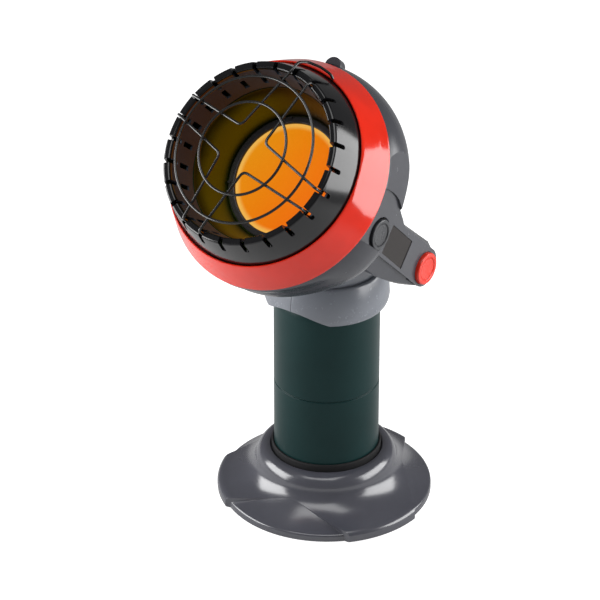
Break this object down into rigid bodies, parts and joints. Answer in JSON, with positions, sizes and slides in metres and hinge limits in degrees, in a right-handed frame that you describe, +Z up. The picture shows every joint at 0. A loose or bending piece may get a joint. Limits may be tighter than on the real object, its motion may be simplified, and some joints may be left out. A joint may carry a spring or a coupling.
{
  "type": "portable propane heater",
  "caption": "Radiant gas heater: a tilted round head with a wire guard and side control housing, screwed onto a fuel cylinder that stands in a bell-shaped base.",
  "frame": {"origin": "middle of the base, on the surface that it stands on", "axes": "+Z up along the fuel cylinder, -Y towards the side that the head faces, +X towards the control housing"},
  "size_m": [0.2199, 0.2795, 0.4739],
  "materials": {
    "stand": "satin dark grey moulding",
    "rubber": "black rubber",
    "cylinder": "semi-gloss dark green paint",
    "steel": "plated steel",
    "brass": "turned brass",
    "casting": "die-cast zinc alloy",
    "housing": "satin dark grey moulding",
    "neck": "satin blue-grey moulding",
    "label": "bare dark label",
    "start": "dark grey button",
    "off": "red button",
    "bezel": "glossy red",
    "ring": "glossy black enamel",
    "wire": "black coated wire",
    "bowl": "polished and heat-tinted reflector",
    "tile": "glowing porous ceramic",
    "burner": "heat-darkened steel",
    "gasket": "ceramic fibre",
    "ceramic": "glazed ceramic",
    "lead": "silicone-covered lead",
    "internal": "black moulding"
  },
  "bodies": {
    "stand": {"stand_base": "stand", "grip_ring": "rubber", "base_feet": "rubber"},
    "cylinder": {"cylinder_lower_half": "cylinder", "cylinder_upper_half": "cylinder", "cylinder_valve": "steel", "valve_core": "brass", "relief_valve": "steel"},
    "seals": {"inlet_seal": "rubber", "nose_seal": "rubber"},
    "head": {"regulator_body": "casting", "inlet_pin": "brass", "regulator_diaphragm": "rubber", "regulator_spring": "steel", "regulator_cap": "casting", "control_shell": "housing", "control_face": "housing", "label_plate": "label", "start_spring": "steel", "off_spring": "steel", "valve_block": "brass", "magnet_unit": "steel", "piezo_igniter": "internal", "gas_tube": "brass", "jet_tube": "brass", "gas_jet": "brass", "venturi_tube": "steel", "burner_cup": "steel", "burner_gasket": "gasket", "ceramic_tile": "tile", "burner_ring": "burner", "pilot_burner": "steel", "pilot_tube": "brass", "thermocouple": "brass", "igniter_electrode": "ceramic", "igniter_lead": "lead", "tip_switch": "internal", "reflector_bowl": "bowl", "front_ring": "ring", "red_bezel": "bezel", "wire_guard": "wire", "heat_shield": "steel", "rear_cover": "housing", "neck_left": "neck", "neck_right": "neck", "neck_screws": "steel", "cover_screws": "steel", "control_screws": "steel", "burner_screws": "burner"},
    "start_button": {"start_button": "start"},
    "off_button": {"off_button": "off"},
    "tip_ball": {"tip_ball": "steel"}
  },
  "joints": [
    {"name": "cylinder_lift", "type": "slide", "parent": "stand", "child": "cylinder", "axis": [0, 0, 1], "range_m": [0, 0.045]},
    {"name": "head_lift", "type": "slide", "parent": "cylinder", "child": "seals", "axis": [0, 0, 1], "range_m": [0, 0.0127]},
    {"name": "head_turn", "type": "hinge", "parent": "seals", "child": "head", "pos_m": [0, 0, 0.243], "axis": [0, 0, 1], "range_deg": [0, 3600]},
    {"name": "start_press", "type": "slide", "parent": "head", "child": "start_button", "axis": [-1, 0, 0], "range_m": [0, 0.008], "stiffness_N_per_m": 450, "springref_m": -0.004, "deforming": ["start_spring"]},
    {"name": "off_press", "type": "slide", "parent": "head", "child": "off_button", "axis": [-1, 0, 0], "range_m": [0, 0.004], "stiffness_N_per_m": 450, "springref_m": -0.004, "deforming": ["off_spring"]},
    {"name": "ball_rise", "type": "slide", "parent": "head", "child": "tip_ball", "axis": [0, 0, 1], "range_m": [0, 0.004]}
  ],
  "couplings": [
    {"joint": "head_lift", "follows": "head_turn", "m_per_rad": 0.00020213}
  ]
}
